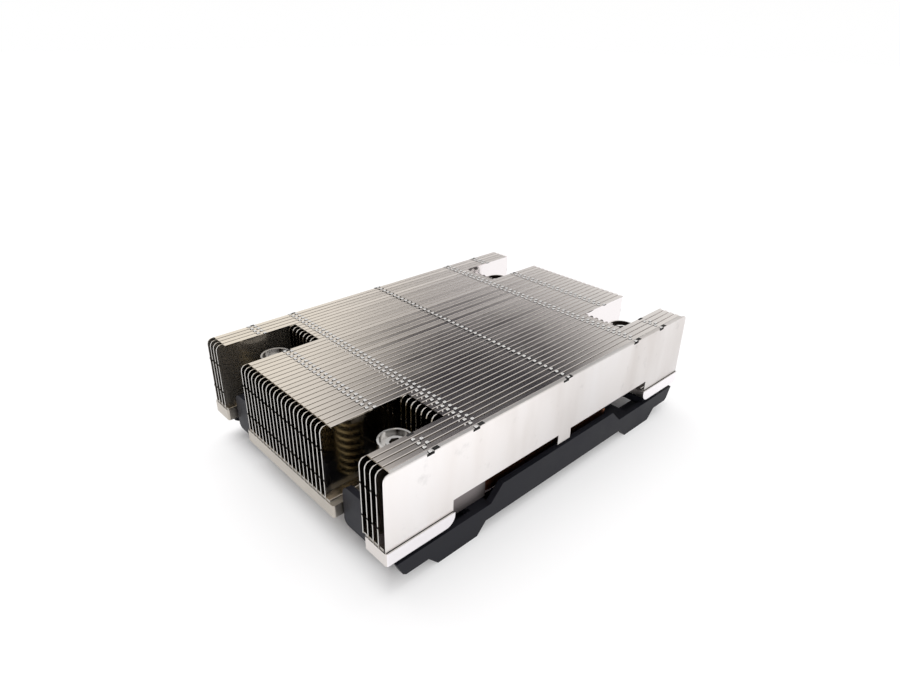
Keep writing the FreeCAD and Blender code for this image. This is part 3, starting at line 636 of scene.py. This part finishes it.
NUT_NICKEL = nickel("nut_nickel", (0.96, 0.94, 0.92, 1), 0.04, 0.08, polished_cup=True)
SPRING_STEEL = nickel("spring_steel", (0.50, 0.41, 0.23, 1), 0.10, 0.20)
RING_STEEL = nickel("ring_steel", (0.45, 0.44, 0.43, 1), 0.30, 0.45)
TAB_METAL = nickel("tab_metal", (0.92, 0.91, 0.90, 1), 0.08, 0.16)
print("finishes:", NUT_NICKEL.name, SPRING_STEEL.name, RING_STEEL.name, TAB_METAL.name)

# %% [markdown]
# The solids keep their meshes. Only the material in each object's slots changes.

# %% Dress the solids


def dress(name, material):
    """Puts a finish in every slot of a solid."""
    mesh_object = nodes[name]
    if not mesh_object.material_slots:
        mesh_object.data.materials.append(material)
    for slot in mesh_object.material_slots:
        slot.material = material


for name in FIN_NODES:
    dress(name, FIN_SHEET)
dress("outer_side_plate", SIDE_SHEET)
dress("base_plate", BASE_METAL)
dress("contact_plate", PLATE_COPPER)
dress("heat_pipes", PIPE_COPPER)
dress("retention_frame", FRAME_BLACK)
for corner in CORNERS:
    dress("captive_nut_" + corner, NUT_NICKEL)
    dress("retaining_ring_" + corner, RING_STEEL)
    dress("spring_" + corner, SPRING_STEEL)
print("dressed fins:", len(FIN_NODES))

# %% [markdown]
# New pieces are grids of points that a formula gives in one go. The helpers turn a grid of
# rows and columns into faces, closing it round where the shape does, and faces into a piece.

# %% Grid surfaces


def grid_faces(rows, columns, close_columns=False):
    """Four-sided faces between neighbouring grid points, as an array of corner numbers."""
    r, c = np.arange(rows - 1), np.arange(columns if close_columns else columns - 1)
    r, c = np.meshgrid(r, c, indexing="ij")
    r_next, c_next = r + 1, (c + 1) % columns
    r, r_next = r * columns, r_next * columns
    corners = (r_next + c, r_next + c_next, r + c_next, r + c)
    return np.stack([corner.ravel() for corner in corners], axis=1)


def mesh_piece(name, points, faces, material, body, smooth=True):
    """A mesh object from points and faces that rides on a body of the model."""
    mesh = bpy.data.meshes.new(name)
    mesh.from_pydata(np.asarray(points, float).tolist(), [], [list(map(int, f)) for f in faces])
    mesh.validate()
    mesh.update()
    if smooth:
        mesh.shade_smooth()
    piece = bpy.data.objects.new(name, mesh)
    bpy.context.scene.collection.objects.link(piece)
    mesh.materials.append(material)
    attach(piece, body)
    return piece


print("faces of a grid of 5 by 5:", len(grid_faces(5, 5)))

# %% [markdown]
# The springs of the solids are coils of square wire. Here they get round wire: a circle of the
# wire's radius, carried along a helix. The end turns rise only a little, as ground spring ends
# do, and the turns between share the rest of the height.

# %% Springs
WIRE_RADIUS = 0.4 * MM
TURNS = 8.5
ROUND_STEPS = 12
TURN_STEPS = 40
FLAT_TURNS = 0.8
END_RISE = 0.88 * WIRE_RADIUS
PRESS = 2 * MM


def coil(low, high, x, y, radius):
    """A tube round a helix. Its height rises evenly between the ends, and by a small step over
    the flat share of a turn at each end. Points go round the wire first, then along it."""
    t = np.linspace(0.0, 1.0, int(TURNS * TURN_STEPS) + 1)
    angle = 2 * np.pi * TURNS * t
    flat = FLAT_TURNS / TURNS
    height = low + WIRE_RADIUS + np.minimum(t / flat, 1) * END_RISE
    free_rise = high - low - 2 * WIRE_RADIUS - 2 * END_RISE
    height = height + free_rise * np.clip((t - flat) / (1 - 2 * flat), 0, 1)
    height = height + np.clip((t - 1 + flat) / flat, 0, 1) * END_RISE
    wire_angle = np.linspace(0, 2 * np.pi, ROUND_STEPS, endpoint=False)
    outward = radius + WIRE_RADIUS * np.cos(wire_angle)[None, :]
    px = x + outward * np.cos(angle)[:, None]
    py = y + outward * np.sin(angle)[:, None]
    pz = height[:, None] + WIRE_RADIUS * np.sin(wire_angle)[None, :]
    points = np.stack([px, py, pz], axis=2).reshape(-1, 3)
    last = (len(t) - 1) * ROUND_STEPS
    ring = list(range(ROUND_STEPS))
    faces = grid_faces(len(t), ROUND_STEPS, close_columns=True).tolist()
    return points, faces + [ring] + [[last + k for k in reversed(ring)]]


for corner in CORNERS:
    low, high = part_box("spring_" + corner)
    nut_low, nut_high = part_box("captive_nut_" + corner)
    x = (nut_low.x + nut_high.x) / 2
    y = (nut_low.y + nut_high.y) / 2
    radius = (high.x - low.x) / 2 - WIRE_RADIUS
    points, faces = coil(low.z, high.z, x, y, radius)
    piece = mesh_piece("round_spring_" + corner, points, faces, SPRING_STEEL,
                       "spring_" + corner)
    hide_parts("spring_" + corner)
    share = (high.z - low.z - PRESS) / (high.z - low.z)
    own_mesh(piece)
    print(piece.name, "height mm:", round((high.z - low.z) / MM, 2), "keeps:", round(share, 3))

# %% [markdown]
# The strips hold each other by small tabs, punched in rows across the fins. Each tab is a low
# pillow: its height is h * (1 - u^4) * (1 - v^4), with u and v from -1 to 1 across it. The rim
# dips a little into the sheet, and one face closes it below. All tabs of a row are one mesh.

# %% Pillows
GRID = 5
SIDE = np.linspace(-1.0, 1.0, GRID)
NUMBERS = np.arange(GRID * GRID).reshape(GRID, GRID)
RIM = np.r_[NUMBERS[0], NUMBERS[1:, -1], NUMBERS[-1, -2::-1], NUMBERS[-2:0:-1, 0]].tolist()
RIM_DIP = 0.03 * MM


def pillows(name, centres, half_x, half_y, height, material):
    """Low pillows at the centres (x, y, z), closed below."""
    u, v = np.meshgrid(SIDE, SIDE, indexing="ij")
    u, v = u.ravel(), v.ravel()
    rise = height * (1 - u**4) * (1 - v**4) - RIM_DIP
    one = np.stack([u * half_x, v * half_y, rise], axis=1)
    centres = np.asarray(centres, float)
    points = (centres[:, None, :] + one[None, :, :]).reshape(-1, 3)
    faces = grid_faces(GRID, GRID).tolist() + [RIM]
    every = [[GRID * GRID * k + n for n in f] for k in range(len(centres)) for f in faces]
    return mesh_piece(name, points, every, material, "heatsink")


print("points of a pillow:", GRID * GRID)

# %% [markdown]
# Five rows cross the fins. The two outer ones stop at the corner notches, and the middle one has
# a single tab on each strip. Elsewhere two tabs sit on each strip, half a pitch apart, and the
# last two strips on the right have only the front one. A dark pad, slightly larger, lies under
# each tab: the shadowed slot from which it was bent. Shifts along X are shares of the pitch.

# %% Interlocks
ROW_PLACES = (-43.4 * MM, -30.5 * MM, 0.0, 30.5 * MM, 43.4 * MM)
ROW_OFFSET = 0.75 * MM
FRONT_SHIFT, REAR_SHIFT, SINGLE_SHIFT = -0.22, 0.28, -0.28
SINGLE_Y = 0.4 * MM
REAR_TABS_END = 36.4 * MM
TAB_X, TAB_Y, TAB_HEIGHT = 0.46 * MM, 0.54 * MM, 0.28 * MM
PAD_X, PAD_Y, PAD_HEIGHT = 0.58 * MM, 0.68 * MM, 0.09 * MM
PAD_SHIFT = 0.08 * MM
MIDDLE_PAD_EXTRA = 0.5 * MM


def strips_of(row):
    """Strips that a row crosses: all of them, or only the wings and the block."""
    return np.arange(LAST_STRIP + 1) if abs(row) < NOTCH_REAR else WING_AND_BLOCK_STRIPS


for count, row in enumerate(ROW_PLACES):
    middles = ROW_START + PITCH * (strips_of(row) + 0.5)
    front = [(x + FRONT_SHIFT * PITCH, row - ROW_OFFSET, FIN_TOP) for x in middles]
    rear = [(x + REAR_SHIFT * PITCH, row + ROW_OFFSET, FIN_TOP)
            for x in middles if x < REAR_TABS_END]
    single = [(x + SINGLE_SHIFT * PITCH, SINGLE_Y, FIN_TOP) for x in middles]
    tabs = front + rear if row else single
    pads = [(x + PAD_SHIFT, y - PAD_SHIFT, z) for x, y, z in tabs]
    pad_y = PAD_Y if row else PAD_Y + MIDDLE_PAD_EXTRA
    pillows("shade_pad_row_%d" % count, pads, PAD_X, pad_y, PAD_HEIGHT, SLOT_PAINTED_SHADE)
    pillows("tab_row_%d" % count, tabs, TAB_X, TAB_Y, TAB_HEIGHT, TAB_METAL)
    print("row mm:", row / MM, "tabs:", len(tabs))

# %% [markdown]
# In front of the second row a small bright dot sits at each seam, from the block to the right
# edge. No two lie quite at the same distance from their seam.

# %% Dots
DOT_SEAMS = np.arange(12, 43)
DOT_Y = -32.5 * MM
DOT_SHIFT = 0.2 * MM
DOT_SCATTER = 0.2
DOT_HALF, DOT_HEIGHT = 0.20 * MM, 0.24 * MM

random_numbers = np.random.default_rng(4)
dots = []
for seam_x in ROW_START + PITCH * DOT_SEAMS:
    away = random_numbers.uniform(-DOT_SCATTER, DOT_SCATTER) * MM
    dots.append((seam_x + DOT_SHIFT + away, DOT_Y, FIN_TOP))
pillows("seam_dots", dots, DOT_HALF, DOT_HALF, DOT_HEIGHT, TAB_METAL)
print("dots:", len(dots))

# %% [markdown]
# Where a row meets the right outer face, the sheet is pierced by a stepped slot: a short window in
# the side and a second one beside it on the top. On the left there is one on the top alone, and the
# outer rows have one at the left of the block and of the right wing. Thin dark blocks show them:
# painted shade in place of the shadowed openings.

# %% Slots
CUBE = np.array([[x, y, z] for x in (-0.5, 0.5) for y in (-0.5, 0.5) for z in (-0.5, 0.5)])
CUBE_FACES = [(0, 1, 3, 2), (4, 6, 7, 5), (0, 4, 5, 1), (2, 3, 7, 6), (0, 2, 6, 4), (1, 5, 7, 3)]
THIN = 0.05 * MM
STEP_Y = 0.9 * MM
SIDE_SLOT = (THIN, 2.0 * MM, 0.62 * MM)
SIDE_SLOT_DROP = 0.32 * MM
TOP_SLOT = (1.0 * MM, 1.6 * MM, THIN)
TOP_SLOT_INSET = 0.55 * MM
LEFT_SLOT = (0.7 * MM, 1.8 * MM, THIN)
LEFT_SLOT_INSET, INNER_SLOT_INSET = 0.3 * MM, 0.45 * MM


def blocks(name, centres, size, material):
    """Small blocks of one size at the given centres, in one mesh."""
    centres = np.asarray(centres, float)
    one = CUBE * np.asarray(size)
    points = (centres[:, None, :] + one[None, :, :]).reshape(-1, 3)
    faces = [[8 * k + n for n in face] for k in range(len(centres)) for face in CUBE_FACES]
    return mesh_piece(name, points, faces, material, "heatsink", smooth=False)


in_side = [(side_high.x, row - STEP_Y, FIN_TOP - SIDE_SLOT_DROP) for row in ROW_PLACES]
in_top = [(side_high.x - TOP_SLOT_INSET, row + STEP_Y, FIN_TOP) for row in ROW_PLACES]
in_left = [(ROW_START + LEFT_SLOT_INSET, row, FIN_TOP) for row in ROW_PLACES]
for start in (BLOCK_LEFT, RIGHT_WING_START):
    for row in (ROW_PLACES[0], ROW_PLACES[-1]):
        in_left.append((start + INNER_SLOT_INSET, row, FIN_TOP))
blocks("side_slot_shades", in_side, SIDE_SLOT, SLOT_PAINTED_SHADE)
blocks("top_slot_shades", in_top, TOP_SLOT, SLOT_PAINTED_SHADE)
blocks("left_slot_shades", in_left, LEFT_SLOT, SLOT_PAINTED_SHADE)
print("slots:", len(in_side) + len(in_top) + len(in_left))

# %% [markdown]
# On the front and rear edges of every fin two small bites, a quarter and two thirds up, catch the
# neighbour's lugs. A bite is a dark block, painted shade in the notch, with a lip of sheet below
# it. A thin dark line, a painted shadow in the gap, shows where the side plate stands on each foot
# of the base, beside the cut-out.

# %% Bites and foot lines
BITE_LEVELS = (5.0 * MM, 13.3 * MM)
BITE = (SHEET + 0.02 * MM, 0.08 * MM, 0.45 * MM)
LIP = (SHEET + 0.06 * MM, 0.1 * MM, 0.2 * MM)
LIP_DROP = 0.45 * MM
CUT_OUT = (-37.8 * MM, 38.4 * MM)
LINE_X, LINE_Z = 0.14 * MM, 0.06 * MM
LINE_OUT, LINE_UP = 0.05 * MM, 0.03 * MM

bites, lips = [], []
for number in range(LAST_STRIP):
    x = ROW_START + PITCH * number + SHEET / 2
    ends = (NOTCH_FRONT, NOTCH_REAR) if number in NOTCH_STRIPS else (FIN_FRONT, FIN_REAR)
    for y in ends:
        for level in BITE_LEVELS:
            bites.append((x, y, BASE_TOP + level))
            lips.append((x, y, BASE_TOP + level - LIP_DROP))
blocks("edge_bite_shades", bites, BITE, SLOT_PAINTED_SHADE)
blocks("edge_lips", lips, LIP, FIN_SHEET)
print("bites:", len(bites))

for end, y_from, y_to in (("front", FIN_FRONT, CUT_OUT[0]), ("rear", CUT_OUT[1], FIN_REAR)):
    centre = (side_high.x + LINE_OUT, (y_from + y_to) / 2, BASE_TOP + LINE_UP)
    blocks("foot_shadow_line_" + end, [centre], (LINE_X, y_to - y_from, LINE_Z), SLOT_PAINTED_SHADE)

# %% [markdown]
# The world is a plain studio. It is white near the ground, so the floor runs into it without an
# edge, and pale overhead. One soft dark zone, like a doorway, stands behind the object: polished
# tops need something dark to reflect, or they would look like paper. A direction's place in the
# zone is its sideways distance and its height, each divided by the zone's half size.

# %% World
ZONE_TURN = math.radians(43)
ZONE_HEIGHT = 0.515
ZONE_HALF_WIDTH = 0.235
ZONE_HALF_HEIGHT = 0.165
ZONE_SOFT_ENDS = (1.25, 0.45)
ZONE_TONE = (0.035, 0.034, 0.042, 1)
SKY_TONES = [
    (0.0, (1.0, 1.0, 1.0, 1)), (0.18, (0.98, 0.97, 0.96, 1)), (0.5, (0.80, 0.79, 0.77, 1)),
    (1.0, (0.75, 0.75, 0.76, 1))
]

world = bpy.data.worlds.new("studio")
bpy.context.scene.world = world
world.use_nodes = True
sky = world.node_tree
sky.nodes.clear()


def reach(direction, axis):
    """How far a direction reaches along an axis."""
    node = put(sky, "ShaderNodeVectorMath", {0: direction, 1: axis}, operation="DOT_PRODUCT")
    return node.outputs["Value"]


direction = put(sky, "ShaderNodeTexCoord").outputs["Generated"]
direction_z = split(sky, direction)["Z"]
sideways = reach(direction, (-math.cos(ZONE_TURN), -math.sin(ZONE_TURN), 0))
forward = reach(direction, (-math.sin(ZONE_TURN), math.cos(ZONE_TURN), 0))
across = maths(sky, "DIVIDE", sideways, ZONE_HALF_WIDTH)
above = maths(sky, "DIVIDE", maths(sky, "SUBTRACT", direction_z, ZONE_HEIGHT), ZONE_HALF_HEIGHT)
across_squared = maths(sky, "MULTIPLY", across, across)
above_squared = maths(sky, "MULTIPLY", above, above)
away = maths(sky, "SQRT", maths(sky, "ADD", across_squared, above_squared))
zone = spread(sky, away, *ZONE_SOFT_ENDS, interpolation_type="SMOOTHSTEP")
in_zone = maths(sky, "MULTIPLY", zone, maths(sky, "GREATER_THAN", forward, 0.0))
studio = blend_colour(sky, in_zone, ramp(sky, direction_z, SKY_TONES), ZONE_TONE)
lit = put(sky, "ShaderNodeBackground", {"Color": studio, "Strength": 1.0})
put(sky, "ShaderNodeOutputWorld", {"Surface": lit.outputs[0]})
print("world:", world.name)

# %% [markdown]
# One broad lamp from the left rear lights the floor and throws the pale shadow to the right.
# Polished metal doesn't mirror it, so it leaves no hot spot on the tops.

# %% Lamp
LAMP_DIRECTION = Vector((0.42, -0.18, -0.90))

sun_data = bpy.data.lights.new("broad_lamp", "SUN")
sun_data.energy = 2.0
sun_data.angle = math.radians(70)
sun_data.color = (1.0, 0.99, 0.97)
sun = bpy.data.objects.new("broad_lamp", sun_data)
bpy.context.scene.collection.objects.link(sun)
sun.rotation_euler = LAMP_DIRECTION.to_track_quat("-Z", "Y").to_euler()
sun.visible_glossy = False
print("lamp:", sun.name)

# %% [markdown]
# The floor is plain white paper. A good half of what is seen of it, directly or in metal, is a
# plain white, and the rest takes light and shade, so the shadow stays soft and pale. Under the
# object the plain white fades out, and the paper is as dark as it would be there.

# %% Floor
FLOOR_HALF = 2.5
PAPER_TONE = (0.92, 0.917, 0.935, 1)
PLAIN_SHARE = 0.58
FADE_ENDS = (-6 * MM, 2 * MM)

floor_mesh = bpy.data.meshes.new("floor")
floor_points = [(-FLOOR_HALF, -FLOOR_HALF, 0), (FLOOR_HALF, -FLOOR_HALF, 0),
                (FLOOR_HALF, FLOOR_HALF, 0), (-FLOOR_HALF, FLOOR_HALF, 0)]
floor_mesh.from_pydata(floor_points, [], [(0, 1, 2, 3)])
floor = bpy.data.objects.new("floor", floor_mesh)
bpy.context.scene.collection.objects.link(floor)
paper = bpy.data.materials.new("white_paper")
paper.use_nodes = True
tree = paper.node_tree
tree.nodes.clear()
parts = split(tree, object_place(tree))
out_x = maths(tree, "SUBTRACT", maths(tree, "ABSOLUTE", parts["X"]), base_high.x)
out_y = maths(tree, "SUBTRACT", maths(tree, "ABSOLUTE", parts["Y"]), base_high.y)
clear = spread(tree, maths(tree, "MAXIMUM", out_x, out_y), *FADE_ENDS)
rays = put(tree, "ShaderNodeLightPath").outputs
mirrored = maths(tree, "MAXIMUM", rays["Is Glossy Ray"], rays["Is Transmission Ray"])
seen = maths(tree, "MAXIMUM", rays["Is Camera Ray"], mirrored)
share = maths(tree, "MULTIPLY", maths(tree, "MULTIPLY", seen, clear), PLAIN_SHARE)
matt = put(tree, "ShaderNodeBsdfDiffuse", {"Color": PAPER_TONE})
plain = put(tree, "ShaderNodeEmission", {"Color": grey(1.0), "Strength": 1.0})
mix = put(tree, "ShaderNodeMixShader", {0: share, 1: matt.outputs[0], 2: plain.outputs[0]})
put(tree, "ShaderNodeOutputMaterial", {"Surface": mix.outputs[0]})
floor_mesh.materials.append(paper)
print("floor side:", 2 * FLOOR_HALF)
